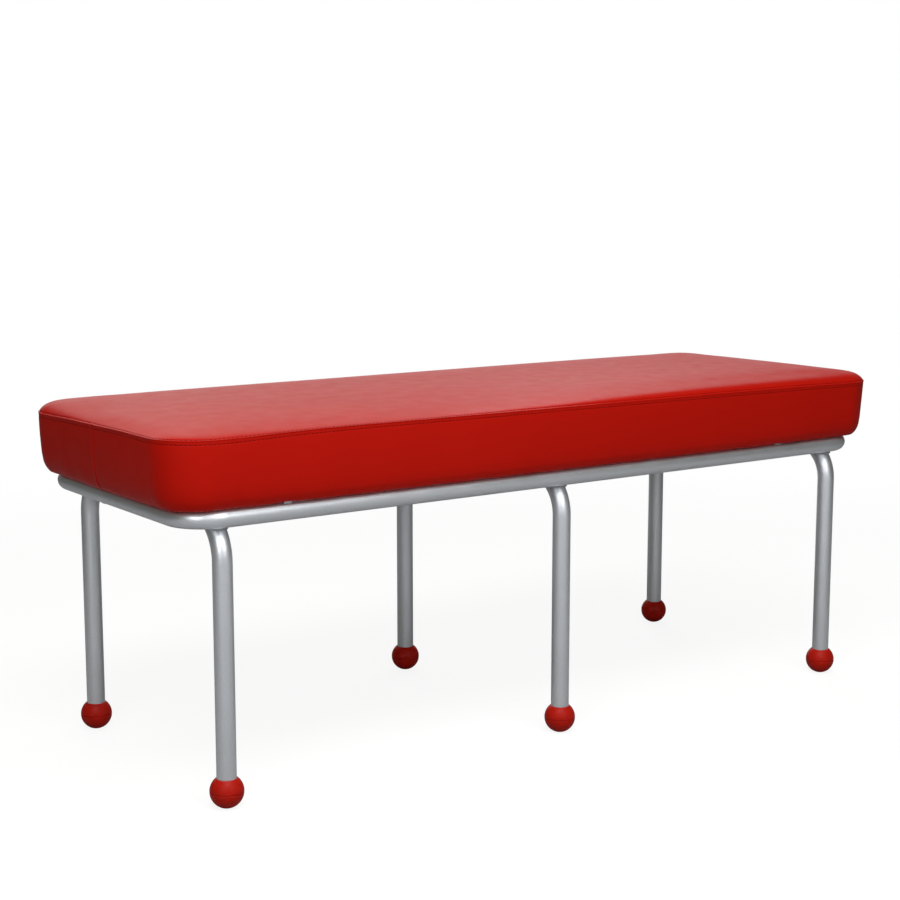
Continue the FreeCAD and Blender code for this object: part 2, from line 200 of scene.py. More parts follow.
# The dust cloth
sheet_cells = (216, 64)          # along and across
sheet_gap = 0.2 * mm             # up from the underside of its CAD node
staple_hold = 14 * mm            # reach of a staple
sheet_slack = 0.25 * mm          # between the staples
sheet_edge_slack = (0.30 * mm, 6 * mm)   # more at its edge: depth and reach
sheet_scallop = (1.2 * mm, 4 * mm)       # how far its edge is drawn in between the staples, and reach


# ---- Small helpers ----

def smooth(value, low, high):
    """0 below low, 1 above high and a smooth step between them."""
    t = np.clip((np.asarray(value, float) - low) / (high - low), 0, 1)
    return t * t * (3 - 2 * t)


def mix(a, b, share):
    return a + (b - a) * share


def hill(distance, width):
    """A bump of height 1 at distance 0."""
    return np.exp(-(np.asarray(distance, float) / width) ** 2)


def search_tree(points):
    """Finds the nearest of these points."""
    tree = KDTree(len(points))
    for k, point in enumerate(points):
        tree.insert(point, k)
    tree.balance()
    return tree


def new_object(name, data):
    thing = bpy.data.objects.new(name, data)
    bpy.context.scene.collection.objects.link(thing)
    return thing


def add_object(name, vertices, faces, material):
    mesh = bpy.data.meshes.new(name)
    mesh.from_pydata([tuple(v) for v in vertices], [], faces)
    mesh.validate()
    mesh.polygons.foreach_set("use_smooth", [True] * len(mesh.polygons))
    mesh.materials.append(material)
    return new_object(name, mesh)


def face_outwards(thing):
    """Turns every face of a closed mesh outwards."""
    mesh = bmesh.new()
    mesh.from_mesh(thing.data)
    bmesh.ops.recalc_face_normals(mesh, faces=mesh.faces)
    mesh.to_mesh(thing.data)
    mesh.free()


def finish_piece(thing, slot, *replaced):
    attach(thing, "root")
    if replaced:
        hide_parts(*replaced)


# ---- Shader nodes ----

def add_node(tree, kind, inputs=None, **settings):
    """A new node. Each input named here is linked where it is given a socket, and set where it is a value."""
    node = tree.nodes.new("ShaderNode" + kind)
    for name, value in settings.items():
        setattr(node, name, value)
    for name, value in (inputs or {}).items():
        if isinstance(value, bpy.types.NodeSocket):
            tree.links.new(value, node.inputs[name])
        else:
            node.inputs[name].default_value = value
    return node


def map_range(tree, value, low, high, to_low=0, to_high=1, shape="LINEAR"):
    inputs = {"Value": value, "From Min": low, "From Max": high, "To Min": to_low, "To Max": to_high}
    return add_node(tree, "MapRange", inputs, interpolation_type=shape).outputs["Result"]


def calculate(tree, operation, *values):
    return add_node(tree, "Math", dict(enumerate(values)), operation=operation).outputs[0]


def calculate_vector(tree, operation, output, *values):
    return add_node(tree, "VectorMath", dict(enumerate(values)), operation=operation).outputs[output]


# ---- Materials ----

class Nodes:
    """A material's node tree, with short calls for what the materials here need."""

    def __init__(self, name, **values):
        self.material = bpy.data.materials.new(name)
        self.material.use_nodes = True
        self.tree = self.material.node_tree
        self.shader = self.tree.nodes["Principled BSDF"]
        self.place = self.add("TexCoord").outputs["Object"]
        for socket, value in values.items():
            self.shader.inputs[socket].default_value = value

    def add(self, kind, inputs=None, **settings):
        return add_node(self.tree, kind, inputs, **settings)

    def stretched(self, scale):
        return self.add("Mapping", {"Vector": self.place, "Scale": scale}).outputs["Vector"]

    def noise(self, scale, detail=2.0, roughness=0.5, place=None):
        inputs = {"Vector": place or self.place, "Scale": scale, "Detail": detail, "Roughness": roughness}
        return self.add("TexNoise", inputs).outputs["Fac"]

    def cells(self, scale, feature="F1", output="Distance"):
        return self.add("TexVoronoi", {"Vector": self.place, "Scale": scale}, feature=feature).outputs[output]

    def range(self, value, low, high, to_low, to_high):
        return map_range(self.tree, value, low, high, to_low, to_high)

    def ramp(self, value, *stops):
        node = self.add("ValToRGB", {"Fac": value})
        stones = node.color_ramp.elements
        while len(stones) < len(stops):
            stones.new(0.5)
        for stone, (position, colour) in zip(stones, stops):
            stone.position = position
            stone.color = (*colour, 1)
        return node.outputs["Color"]

    def height(self):
        """The height above the floor."""
        return self.add("SeparateXYZ", {"Vector": self.place}).outputs["Z"]

    def bump(self, value, distance, strength, under=None):
        inputs = {"Height": value, "Distance": distance, "Strength": strength}
        if under:
            inputs["Normal"] = under
        return self.add("Bump", inputs).outputs["Normal"]

    def use(self, **outputs):
        for name, output in outputs.items():
            self.tree.links.new(output, self.shader.inputs[name.replace("_", " ")])
        return self.material


def cover_vinyl():
    """Red upholstery vinyl: satin, with a fine pebbled grain."""
    n = Nodes("cover_vinyl", IOR=1.13)
    tone = n.ramp(n.noise(9, 3), (0.30, (0.390, 0.0056, 0.0019)), (0.70, (0.410, 0.0062, 0.0022)))
    rough = n.range(n.noise(40, 4), 0.3, 0.7, 0.36, 0.42)
    grain = n.bump(n.cells(850, "DISTANCE_TO_EDGE"), 0.10 * mm, 0.25)
    grain = n.bump(n.noise(260, 3), 0.12 * mm, 0.06, grain)
    return n.use(Base_Color=tone, Roughness=rough, Normal=grain)


def thread():
    """Red sewing thread with its twist, darker than the vinyl: partly its own tone, partly painted shade of
    the needle pits that the stitches sit in.
    """
    n = Nodes("thread", Roughness=0.7, IOR=1.12)
    # Painted shade: the dark tone also stands in for the shade in the pits that the stitches sit in.
    tone = n.ramp(n.noise(900, 1), (0.35, (0.09, 0.0028, 0.0024)), (0.65, (0.13, 0.0036, 0.0030)))
    return n.use(Base_Color=tone, Normal=n.bump(n.cells(2600), 0.15 * mm, 0.4))


def frame_paint(name="frame_paint", weld=False):
    """Silver powder coat: fine metal flake under a satin skin. On the welds it is rougher, and darker as
    painted shade of the joints under the rail.
    """
    n = Nodes(name, Metallic=0.92)
    dark, light = (0.645, 0.675, 0.72), (0.81, 0.84, 0.89)
    # On the welds the darker tones are painted shade of the joints under the rail, over the paint's own
    # colour.
    if weld:
        dark, light = (0.38, 0.385, 0.395), (0.70, 0.70, 0.71)
    tone = n.ramp(n.cells(2600, output="Color"), (0.0, dark), (1.0, light))
    rough = n.range(n.noise(30, 3), 0.3, 0.7, 0.38, 0.45)
    skin = n.bump(n.noise(420, 2), 0.05 * mm, 0.25)
    if weld:
        skin = n.bump(n.noise(520, 4, 0.65), 0.9 * mm, 0.7, skin)
    return n.use(Base_Color=tone, Roughness=rough, Normal=skin)


def foot_rubber():
    """Moulded red rubber: satin, and matt on the tread where it is worn."""
    n = Nodes("foot_rubber", IOR=1.2)
    tone = n.ramp(n.noise(120, 3), (0.30, (0.35, 0.0078, 0.0028)), (0.70, (0.39, 0.0090, 0.0034)))
    worn = n.range(n.height(), 0.5 * mm, 5 * mm, 0.75, 0.44)
    skin = n.bump(n.noise(900, 3), 0.08 * mm, 0.35)
    return n.use(Base_Color=tone, Roughness=worn, Normal=skin)


def plywood():
    """Birch plywood: long grain, with its plies showing at the edge."""
    n = Nodes("plywood", Roughness=0.65)
    grain = n.noise(30, 6, 0.6, n.stretched((1, 14, 40)))
    tone = n.ramp(grain, (0.30, (0.42, 0.27, 0.14)), (0.55, (0.60, 0.42, 0.24)), (0.75, (0.68, 0.50, 0.31)))
    return n.use(Base_Color=tone, Normal=n.bump(grain, 0.3 * mm, 0.4))


def foam():
    """Open-cell cream foam."""
    n = Nodes("foam", Roughness=0.95)
    cell = n.cells(700)
    tone = n.ramp(cell, (0.0, (0.50, 0.44, 0.30)), (0.6, (0.78, 0.72, 0.56)))
    return n.use(Base_Color=tone, Normal=n.bump(cell, 0.8 * mm, 0.6))


def zinc_steel():
    """Bright zinc plate with a faint passivation bloom."""
    n = Nodes("zinc_steel", Metallic=1.0)
    tone = n.ramp(n.noise(160, 3), (0.35, (0.50, 0.51, 0.50)), (0.65, (0.66, 0.65, 0.60)))
    rough = n.range(n.noise(300, 2), 0.3, 0.7, 0.26, 0.42)
    return n.use(Base_Color=tone, Roughness=rough, Normal=n.bump(n.noise(700, 2), 0.05 * mm, 0.3))


def dust_cloth():
    """Black non-woven cloth, felted from short fibres."""
    n = Nodes("dust_cloth", Roughness=0.9)
    fibre = n.noise(900, 5, 0.7, n.stretched((1, 2.5, 1)))
    tone = n.ramp(fibre, (0.35, (0.010, 0.010, 0.011)), (0.70, (0.032, 0.032, 0.034)))
    return n.use(Base_Color=tone, Normal=n.bump(fibre, 0.25 * mm, 0.6))


# ---- The cushion's outline ----

def graded_places(start, end, fine_at):
    """Places along an end of the cushion, close together at its seam."""
    places = [fine_at]
    for direction, limit in ((-1, start), (1, end)):
        place, step = fine_at, fine_step
        while abs(limit - place) > 1.4 * step:
            place += direction * step
            places.append(place)
            if abs(place - fine_at) > fine_steps * fine_step:
                step = min(step * step_growth, long_step)
        places.append(limit)
    return sorted(places)


def perimeter():
    """Samples round the outline, anticlockwise from the middle of the front-left corner: where each one's
    corner centre lies as a share of the way across, its outward direction, and where the grid's four sides
    begin."""
    span_x = half_length - corner_radius
    span_y = half_depth - corner_radius
    count = round(2 * span_x / long_step)
    along = np.linspace(-1, 1, count + 1)
    across = np.array(graded_places(-span_y, span_y, end_seam_y)) / span_y
    samples = []
    side_starts = []
    walls = (
        (270, [(x, -1) for x in along]),
        (360, [(1, y) for y in across]),
        (450, [(x, 1) for x in along[::-1]]),
        (540, [(-1, y) for y in across[::-1]]),
    )
    for angle, wall in walls:
        side_starts.append(len(samples))
        for k in range(corner_cells):
            samples.append((*wall[0], angle - 45 + 45 * k / corner_cells))
        samples += [(*place, angle) for place in wall]
        for k in range(1, corner_cells):
            samples.append((*wall[-1], angle + 45 * k / corner_cells))
    table = np.array(samples)
    turn = np.radians(table[:, 2])
    return table[:, :2], np.stack([np.cos(turn), np.sin(turn)], 1), side_starts


share, outward, side_starts = perimeter()
around = len(share)


def ring_points(inset):
    """The outline moved inwards by an inset, one number or one for each sample."""
    inset = np.broadcast_to(np.asarray(inset, float), around)
    radius = np.maximum(corner_radius - inset, turned_under_radius)
    reach = np.stack([half_length - inset - radius, half_depth - inset - radius], 1)
    return share * reach + outward * radius[:, None]


def inset_of(points):
    """Distance in from the cushion's outline, seen from above."""
    q = np.abs(points[:, :2]) - np.array([half_length, half_depth]) + corner_radius
    outside_corner = np.linalg.norm(np.maximum(q, 0), axis=1)
    return corner_radius - outside_corner - np.minimum(q.max(1), 0)


def corner_nearness(points):
    """1 in the corners, fading to 0 along the sides."""
    gap = np.hypot(
        np.maximum(half_length - corner_radius - np.abs(points[:, 0]), 0),
        np.maximum(half_depth - corner_radius - np.abs(points[:, 1]), 0),
    )
    return hill(gap, droop_reach)


def seam_line(points):
    """The top seam's height beside these points."""
    x, y = points[:, 0], points[:, 1]
    line = seam_height + front_seam_slope * x * smooth(y, *front_seam_y)
    line -= left_end_sag[0] * hill(y, left_end_sag[1]) * smooth(-x, *left_end_x)
    nearness = corner_nearness(points)
    for (side_x, side_y), droop in corner_droops.items():
        line -= droop * nearness * smooth(x * side_x, *droop_blend) * smooth(y * side_y, *droop_blend)
    return line


edge = ring_points(0)
steps = np.linalg.norm(np.roll(edge, -1, 0) - edge, axis=1)
along_edge = np.concatenate([[0], np.cumsum(steps)[:-1]])
cornerness = corner_nearness(edge)
# Distance rearwards from the end seam, and a metre where there is no end
at_end_seam = np.where(np.abs(edge[:, 0]) > half_length - 1 * mm, edge[:, 1] - end_seam_y, 1.0)


# ---- The cushion's section ----

fold = seam_line(edge)
crest = seat_height - swell + crest_lift
shoulder_reach = mix(side_shoulder, corner_shoulder, cornerness)
edge_width = mix(side_bottom_edge[0], corner_bottom_edge[0], cornerness)
edge_height = mix(side_bottom_edge[1], corner_bottom_edge[1], cornerness)
rightness = smooth(edge[:, 0], *right_lean_x)
bottom = underside - hang


def sunk(rise, reach, gap):
    """How far a dome is still below its full height at a distance from where it starts."""
    return rise * (1 - np.clip(gap / reach, 0, 1)) ** 2


def dome_height(points):
    """The top panel's slow dome, without the steep rise next to its seam."""
    x, y = points[:, 0], points[:, 1]
    rightwards, backwards = smooth(x, *right_dome_x), smooth(y, *rear_dome_y)
    front = [mix(left, right, rightwards) for left, right in zip(front_dome_left, front_dome_right)]
    end = [
        mix(mix(left, rear, backwards), right, rightwards)
        for left, rear, right in zip(left_dome, rear_dome, right_dome)
    ]
    from_sides = sunk(*front, half_depth + y) + sunk(*rear_dome, half_depth - y)
    drop = np.hypot(from_sides, sunk(*end, half_length - np.abs(x)))
    return crest - drop + crown_tilt * x / half_length


def panel_height(inset):
    """The top panel's height at an inset from the seam, before the simulation."""
    inset = np.broadcast_to(np.asarray(inset, float), around)
    last = np.exp(-inner_ring_inset / shoulder_reach)
    fade = (np.exp(-inset / shoulder_reach) - last) / (1 - last)
    return dome_height(ring_points(inset)) - (dome_height(edge) - fold) * fade


def band_inset(depth):
    """How far inwards the band lies at a depth below the seam."""
    rounded = np.clip((depth - (fold - bottom - edge_height)) / edge_height, 0, 1)
    lean = mix(left_lean * depth ** 2, right_lean * depth, rightness)
    return lean + edge_width * (1 - np.sqrt(1 - rounded ** 2))


def section():
    """The cover's rings, from the end of its turned-under part, round the bottom edge, up the band, over the
    seam and in to the last ring of the top panel. Each is (inset, height, distance above the seam along the
    cover)."""
    rings = []
    bottom_inset = band_inset(fold - bottom)
    for portion in under_portions:
        inset = mix(bottom_inset, turned_under_inset, portion)
        rings.append((inset, underside - hang * (1 - smooth(inset, *hang_places)), -far_from_seam))
    for turn in np.radians(bottom_turns):
        depth = fold - bottom - edge_height * (1 - math.sin(turn))
        rings.append((band_inset(depth), fold - depth, -far_from_seam))
    for portion in np.linspace(0.08, 1, 9)[:-1]:
        depth = mix(fold - bottom - edge_height, band_depths[0], portion)
        rings.append((band_inset(depth), fold - depth, -far_from_seam))
    for depth in band_depths:
        rings.append((band_inset(np.full(around, depth)), fold - depth, -depth))
    trials = np.linspace(0, 16 * mm, 120)
    heights = np.stack([panel_height(trial) for trial in trials], 1)
    lengths = np.hypot(np.diff(trials), np.diff(heights, axis=1)).cumsum(1)
    lengths = np.concatenate([np.zeros((around, 1)), lengths], 1)
    for distance in panel_distances:
        inset = np.array([np.interp(distance, row, trials) for row in lengths])
        rings.append((inset, panel_height(inset), distance))
    start = rings[-1][0]
    for portion in panel_portions:
        inset = mix(start, inner_ring_inset, portion)
        rings.append((inset, panel_height(inset), far_from_seam))
    return rings


def panel_grid(ring):
    """The top panel inside a ring of points, as a grid whose corners are the ring's four side starts. Gives
    the new points and, for each place of the grid, the number of its point, with the ring's own points
    first."""
    a, b, c, d = side_starts
    front = list(range(a, b + 1))
    right = list(range(b, c + 1))
    back = list(range(c, d + 1))[::-1]
    left = (list(range(d, around)) + [0])[::-1]
    columns, rows = len(front), len(right)
    p = ring
    u = (p[front, 0] - p[front[0], 0]) / (p[front[-1], 0] - p[front[0], 0])
    v = (p[left, 1] - p[left[0], 1]) / (p[left[-1], 1] - p[left[0], 1])
    index = np.zeros((columns, rows), int)
    index[:, 0], index[:, -1], index[0, :], index[-1, :] = front, back, left, right
    points = []
    for i in range(1, columns - 1):
        for j in range(1, rows - 1):
            s, t = u[i], v[j]
            between = (1 - t) * p[front[i]] + t * p[back[i]] + (1 - s) * p[left[j]] + s * p[right[j]]
            corners = ((1 - s) * (1 - t) * p[front[0]] + s * (1 - t) * p[front[-1]]
                       + (1 - s) * t * p[back[0]] + s * t * p[back[-1]])
            index[i, j] = around + len(points)
            points.append(between - corners)
    return np.array(points), index


def ring_faces(first, second):
    """Quads between two rings whose points start at these numbers."""
    faces = []
    for k in range(around):
        after = (k + 1) % around
        faces.append((first + k, first + after, second + after, second + k))
    return faces


def grid_faces(index, first):
    """Quads of the panel's grid, inside a ring whose points start at this number."""
    faces = []
    for i in range(index.shape[0] - 1):
        for j in range(index.shape[1] - 1):
            corners = (index[i, j], index[i + 1, j], index[i + 1, j + 1], index[i, j + 1])
            faces.append(tuple(int(first + c) for c in corners))
    return faces


def cushion_mesh():
    """The cover and foam as one closed form: outside over band and panel, inside hugging the board."""
    rings = section()
    vertices, seam_distance, faces = [], [], []
    for inset, height, distance in rings:
        vertices.append(np.column_stack([ring_points(inset), height]))
        seam_distance.append(np.full(around, distance))
    for k in range(len(rings) - 1):
        faces += ring_faces(k * around, (k + 1) * around)
    points, index = panel_grid(vertices[-1][:, :2])
    vertices.append(np.column_stack([points, dome_height(points)]))
    seam_distance.append(np.full(len(points), far_from_seam))
    faces += grid_faces(index, (len(rings) - 1) * around)
    outside = sum(len(v) for v in vertices)
    inner = (
        (turned_under_inset, board_low.z),
        (board_inset + board_lip, board_low.z),
        (board_inset, board_low.z),
        (board_inset, board_high.z),
    )
    for k, (inset, height) in enumerate(inner):
        vertices.append(np.column_stack([ring_points(inset), np.full(around, height)]))
        seam_distance.append(np.full(around, -far_from_seam))
        below = 0 if k == 0 else outside + (k - 1) * around
        faces += [face[::-1] for face in ring_faces(below, outside + k * around)]
    lid = outside + (len(inner) - 1) * around
    faces.append(tuple(range(lid, lid + around))[::-1])
    return np.concatenate(vertices), np.concatenate(seam_distance), faces, outside, len(rings)


# ---- Cloth simulation ----

def remeshed_copy(vertices, ring_count):
    """A closed copy of the cushion's outside, with even faces."""
    picked = list(range(len(under_portions) - 1, ring_count, 2))
    if picked[-1] != ring_count - 1:
        picked.append(ring_count - 1)
    rough_faces = []
    for low, high in zip(picked, picked[1:]):
        rough_faces += ring_faces(low * around, high * around)
    last = (ring_count - 1) * around
    _, index = panel_grid(vertices[last:last + around, :2])
    rough_faces += grid_faces(index, last)
    start = picked[0] * around
    rough_faces.append(tuple(range(start, start + around))[::-1])
    used = sorted({v for face in rough_faces for v in face})
    renumber = {v: k for k, v in enumerate(used)}
    faces = [tuple(renumber[v] for v in face) for face in rough_faces]
    body = add_object("swelling", vertices[used], faces, bpy.data.materials["cover_vinyl"])
    face_outwards(body)
    remesh = body.modifiers.new("remesh", "REMESH")
    remesh.mode = "VOXEL"
    remesh.voxel_size = swell_voxel
    depsgraph = bpy.context.evaluated_depsgraph_get()
    even = bpy.data.meshes.new_from_object(body.evaluated_get(depsgraph))
    body.modifiers.clear()
    body.data = even
    return body


def puffed(body, held):
    """Where a body's points are once it is puffed up as cloth, with some of them held."""
    pinned = body.vertex_groups.new(name="pinned")
    pinned.add([int(k) for k in np.flatnonzero(held)], 1.0, "REPLACE")
    cloth = body.modifiers.new("cloth", "CLOTH")
    for name, value in cloth_settings.items():
        setattr(cloth.settings, name, value)
    cloth.settings.effector_weights.gravity = 0
    cloth.point_cache.frame_start = 1
    cloth.point_cache.frame_end = swell_frames
    for number in range(1, swell_frames + 1):
        bpy.context.scene.frame_set(number)
    depsgraph = bpy.context.evaluated_depsgraph_get()
    moved = np.array([v.co for v in body.evaluated_get(depsgraph).data.vertices])
    bpy.context.scene.frame_set(1)
    return moved


def evened(mesh, shift, free):
    """Smooths a movement of a mesh's points over their neighbours, where they are free."""
    ends = np.array([line.vertices[:] for line in mesh.edges])
    count = np.bincount(ends.ravel(), minlength=len(shift))[:, None]
    for _ in range(evening_rounds):
        total = np.zeros_like(shift)
        np.add.at(total, ends[:, 0], shift[ends[:, 1]])
        np.add.at(total, ends[:, 1], shift[ends[:, 0]])
        shift = np.where(free[:, None], mix(shift, total / count, evening_share), shift)
    return shift


def swollen(vertices, outside, ring_count):
    """How far each outer point moves when a remeshed copy of the cushion is puffed up as cloth."""
    body = remeshed_copy(vertices, ring_count)
    mesh = body.data
    rest = np.array([v.co for v in mesh.vertices])
    at_seam = np.abs(rest[:, 2] - seam_line(rest)) < pinned_at_seam[0]
    at_seam &= inset_of(rest) < pinned_at_seam[1]
    held = (rest[:, 2] < underside + pinned_height) | at_seam
    shift = puffed(body, held) - rest
    bpy.data.objects.remove(body)
    size = np.linalg.norm(shift, axis=1)
    shift *= (swell_limit * np.tanh(size / swell_limit) / np.maximum(size, 1e-9))[:, None]
    shift = evened(mesh, shift, ~held)
    tree = search_tree(rest)
    result = np.zeros((len(vertices), 3))
    for k in range(len(under_portions) * around, outside):
        near = tree.find_n(vertices[k], nearest_points)
        weights = np.array([1 / (distance + 1 * mm) ** 2 for _, _, distance in near])
        result[k] = weights @ shift[[number for _, number, _ in near]] / weights.sum()
    return result


# ---- Seams and pulls, after the simulation ----

def ring_normals(vertices, ring_count):
    """Outward directions of the cover's rings."""
    grid = vertices[:ring_count * around].reshape(ring_count, around, 3)
    up = np.gradient(grid, axis=0)
    on = np.roll(grid, -1, 1) - np.roll(grid, 1, 1)
    normal = np.cross(on, up)
    normal /= np.maximum(np.linalg.norm(normal, axis=2, keepdims=True), 1e-12)
    return normal.reshape(-1, 3)


def seam_relief(distance):
    """How far the cover stands proud near the top seam, by distance above the panel's edge."""
    relief = ridge[0] * hill(distance, ridge[1]) - join[0] * hill(distance - join_place, join[1])
    for depth, width in (lower_dip, lower_pull):
        relief -= depth * hill(distance - lower_row, width)
    return relief - upper_dip[0] * hill(distance - upper_row, upper_dip[1])


def sew(vertices, seam_distance, ring_count):
    """Shapes the top seam, laps the end seams and pulls the bottom edge in at the staples."""
    count = ring_count * around
    normal = ring_normals(vertices, ring_count)
    distance = seam_distance[:count]
    relief = np.where(np.abs(distance) < far_from_seam, seam_relief(distance), 0.0)
    place = np.tile(along_edge, ring_count)
    height = vertices[:count, 2]
    seam = np.tile(at_end_seam, ring_count)
    below = np.tile(fold, ring_count) - height
    on_band = smooth(below, 0.5 * mm, 4 * mm) * smooth(height, bottom - 1 * mm, bottom + 3 * mm)
    lapped = lap[0] * np.exp(-np.abs(seam) / lap[1]) * smooth(seam, *lap_rise)
    relief += (lapped - groove[0] * hill(seam - groove_place, groove[1])) * on_band
    relief += knot[0] * hill(seam - knot_place, knot[1]) * hill(below, knot[2])
    low = hill(height - bottom, staple_wave_reach)
    wander = sum(size * np.sin(place * waves + phase) for size, waves, phase in staple_wander)
    wave = np.cos(2 * math.pi * (place / staple_pitch + staple_wander_share * wander))
    relief -= bottom_pucker * low * (0.5 + 0.5 * wave) * (distance < 0)
    gather = np.tile(smooth(cornerness, *gather_corners), ring_count)
    ripple = np.sin(place * 2 * math.pi / gather_size[1])
    relief += gather_size[0] * gather * ripple * hill(height - bottom, gather_size[2])
    vertices[:count] += normal * relief[:, None]
    return normal


def rail_surface(points):
    """How high the rail's top lies under these points, or far below where it doesn't lie there."""
    reach = np.array([rail_high.x, rail_high.y]) - tube_radius - rail_bend_radius
    q = np.abs(points[:, :2]) - reach
    off_line = np.linalg.norm(np.maximum(q, 0), axis=1) + np.minimum(q.max(1), 0) - rail_bend_radius
    rise = np.sqrt(np.maximum(tube_radius ** 2 - off_line ** 2, 0))
    return np.where(np.abs(off_line) < tube_radius, rail_high.z - tube_radius + rise, -1.0)


def lay_on_rail(vertices, outside):
    """Sets the cushion in its place on the frame, lifts its hanging cover off the rail and the tabs, and
    folds its corners into pleats underneath."""
    vertices[:outside, 0] += cushion_shift + right_bulge * smooth(vertices[:outside, 0], *right_bulge_x)
    count = (len(under_portions) + len(bottom_turns)) * around
    under = vertices[:count]
    place = np.tile(along_edge, count // around)
    inset = inset_of(under)
    along = np.min([np.abs(under[:, 0] - middle) for middle in tab_places], axis=0)
    lifted = smooth(along, *tab_reach) * (np.abs(under[:, 1]) > long_sides_y) * smooth(inset, *tab_insets)
    gap = smooth(np.abs(under[:, 0] - gap_place), *gap_reach) * (under[:, 1] < -long_sides_y)
    under[:, 2] = np.maximum(under[:, 2], bottom + gap_lift * gap)
    under[:, 2] = mix(under[:, 2], np.maximum(under[:, 2], underside + tab_clearance), lifted)
    pleat = np.tile(smooth(cornerness, *pleat_corners), count // around)
    pleat *= smooth(inset, *pleat_start) * smooth(inset, *pleat_end)
    fold_wave = np.abs(((place / pleat_size[1]) % 1) - 0.5) * 2
    under[:, 2] -= pleat_size[0] * pleat * fold_wave
    under[:, 2] = np.maximum(under[:, 2], rail_surface(under) + rail_clearance)


# ---- Stitches ----

def capsule(segments=6, rows=4):
    """A short thread stitch along X, as points of a unit capsule and its faces."""
    points = [(-0.5, 0, 0)]
    for row in range(rows):
        turn = math.pi * (row + 1) / (rows + 1)
        for k in range(segments):
            angle = 2 * math.pi * k / segments
            radius = math.sin(turn) ** thread_bluntness
            points.append((-0.5 * math.cos(turn), radius * math.cos(angle) / 2, radius * math.sin(angle) / 2))
    points.append((0.5, 0, 0))
    faces = []
    for k in range(segments):
        after = (k + 1) % segments
        faces.append((0, 1 + after, 1 + k))
        for row in range(rows - 1):
            a, b = 1 + row * segments, 1 + (row + 1) * segments
            faces.append((a + k, a + after, b + after, b + k))
        end = 1 + (rows - 1) * segments
        faces.append((end + k, end + after, len(points) - 1))
    return np.array(points), faces


def stitch_row(vertices, normal, ring):
    """Stitches along one ring of the cover: their points and faces."""
    line = vertices[ring * around:(ring + 1) * around]
    normals = normal[ring * around:(ring + 1) * around]
    gaps = np.linalg.norm(np.roll(line, -1, 0) - line, axis=1)
    reach = np.concatenate([[0], np.cumsum(gaps)])
    closed = np.vstack([line, line[:1]])
    closed_normals = np.vstack([normals, normals[:1]])
    count = int(reach[-1] / stitch_pitch)
    shape, shape_faces = capsule()
    offsets = (-stitch_length / 2, 0, stitch_length / 2)
    points, faces = [], []
    for k in range(count):
        middle = reach[-1] * (k + 0.5) / count
        jitter = stitch_jitter * random.uniform(-1, 1)
        at = [np.interp(middle + s, reach, closed[:, i]) for s in offsets for i in range(3)]
        start, centre, end = np.array(at).reshape(3, 3)
        up = np.array([np.interp(middle, reach, closed_normals[:, i]) for i in range(3)])
        along = (end - start) / np.linalg.norm(end - start)
        side = np.cross(up, along)
        side /= np.linalg.norm(side)
        up = np.cross(along, side)
        along = along + side * (stitch_tilt * random.uniform(0.4, 1.0))
        base = len(points) * len(shape)
        body = (centre + up * stitch_rise + side * jitter
                + shape[:, :1] * stitch_length * along
                + shape[:, 1:2] * thread_width * side
                + shape[:, 2:] * thread_width * thread_flatness * up)
        points.append(body)
        faces += [tuple(base + v for v in face) for face in shape_faces]
    return np.concatenate(points), faces


def make_stitches(vertices, normal, ring_count, seam_distance):
    heads = seam_distance[:ring_count * around:around]
    all_points, all_faces, base = [], [], 0
    for row in (upper_row, lower_row):
        ring = int(np.argmin(np.abs(heads - row)))
        points, faces = stitch_row(vertices, normal, ring)
        all_points.append(points)
        all_faces += [tuple(base + v for v in face) for face in faces]
        base += len(points)
    return add_object("topstitching", np.concatenate(all_points), all_faces, thread())


# ---- The cushion ----

def make_cushion():
    vertices, seam_distance, faces, outside, ring_count = cushion_mesh()
    material = cover_vinyl()
    vertices += swollen(vertices, outside, ring_count)
    normal = sew(vertices, seam_distance, ring_count)
    lay_on_rail(vertices, outside)
    cushion = add_object("cushion", vertices, faces, material)
    cushion.data.set_sharp_from_angle(angle=math.radians(55))
    stitches = make_stitches(vertices, normal, ring_count, seam_distance)
    finish_piece(cushion, "cover_vinyl",
                 "seat_foam", "cover_top_panel", "cover_band_front", "cover_band_rear")
    finish_piece(stitches, "cover_vinyl")
    return cushion


# ---- The dust cloth ----

def make_dust_cloth():
    """The black cloth under the board: drawn tight at its staples, slack and a little scalloped between
    them."""
    low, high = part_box("dust_cloth")
    along, across = sheet_cells
    x, y = np.meshgrid(np.linspace(low.x, high.x, along + 1), np.linspace(low.y, high.y, across + 1))
    points = np.stack([x.ravel(), y.ravel(), np.full(x.size, low.z + sheet_gap)], 1)
    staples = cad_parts["dust_cloth_staples"]
    tree = search_tree([staples.matrix_world @ vertex.co for vertex in staples.data.vertices])
    reach = np.array([tree.find(point)[2] for point in points])
    gap_x, gap_y = high.x - np.abs(points[:, 0]), high.y - np.abs(points[:, 1])
    edge_gap = np.minimum(gap_x, gap_y)
    slack = 1 - hill(reach, staple_hold)
    points[:, 2] -= slack * (sheet_slack + sheet_edge_slack[0] * hill(edge_gap, sheet_edge_slack[1]))
    drawn = slack * hill(edge_gap, sheet_scallop[1]) * sheet_scallop[0]
    inwards = np.where(gap_x < gap_y, 0, 1)
    rows = np.arange(len(points))
    points[rows, inwards] -= np.sign(points[rows, inwards]) * drawn
    row = along + 1
    faces = [(j * row + k, (j + 1) * row + k, (j + 1) * row + k + 1, j * row + k + 1)
             for j in range(across) for k in range(along)]
    cloth = add_object("dust_cloth_skin", points, faces, dust_cloth())
    finish_piece(cloth, "dust_cloth", "dust_cloth")
    return cloth


# ---- Studio ----

camera_azimuth = math.radians(-35.18912)
camera_elevation = math.radians(8.67752)
camera_place = Vector((-1479.24, -2025.77, 757.14)) * mm
focal_pixels = 1735.014
image_size = 900
sensor = 36

middle = (0, 0, 0.3)
